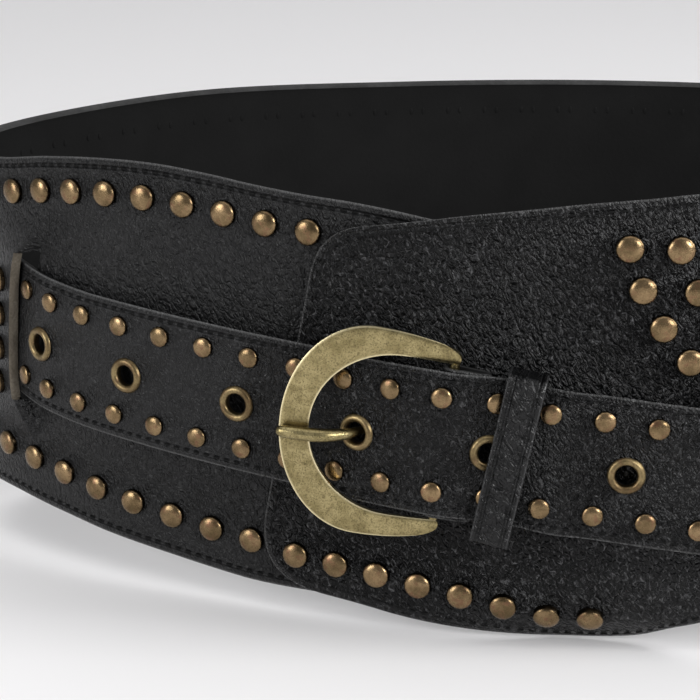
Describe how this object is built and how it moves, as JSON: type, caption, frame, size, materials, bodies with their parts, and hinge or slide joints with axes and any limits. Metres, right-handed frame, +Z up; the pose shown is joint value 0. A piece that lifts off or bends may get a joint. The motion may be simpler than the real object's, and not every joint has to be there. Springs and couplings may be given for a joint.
{
  "type": "studded waist belt",
  "caption": "Wide curved leather waist belt with domed brass studs; a narrow studded strap leaves a slot, passes a buckle and keeper in front and stands fastened as an oval loop.",
  "frame": {"origin": "middle of the loop's footprint on the floor that the belt stands on", "axes": "+Z up; -Y towards the front, where the buckle is; +X towards the wearer's left, where the strap's free end points"},
  "size_m": [0.3614, 0.1848, 0.1174],
  "materials": {
    "band_leather": "black grained leather, half matt, worn slightly lighter along its edges",
    "strap_leather": "black grained leather, a little glossier on the keeper",
    "brass": "antique brass, dull and brownish with brighter rims"
  },
  "bodies": {
    "root": {"wide_band": "band_leather", "strap": "strap_leather", "buckle_frame": "brass", "buckle_tongue": "brass", "buckle_tab": "strap_leather", "keeper": "strap_leather", "eyelet_1": "brass", "eyelet_2": "brass", "eyelet_3": "brass", "eyelet_4": "brass", "eyelet_5": "brass", "eyelet_6": "brass", "eyelet_7": "brass", "eyelet_8": "brass"}
  },
  "joints": []
}
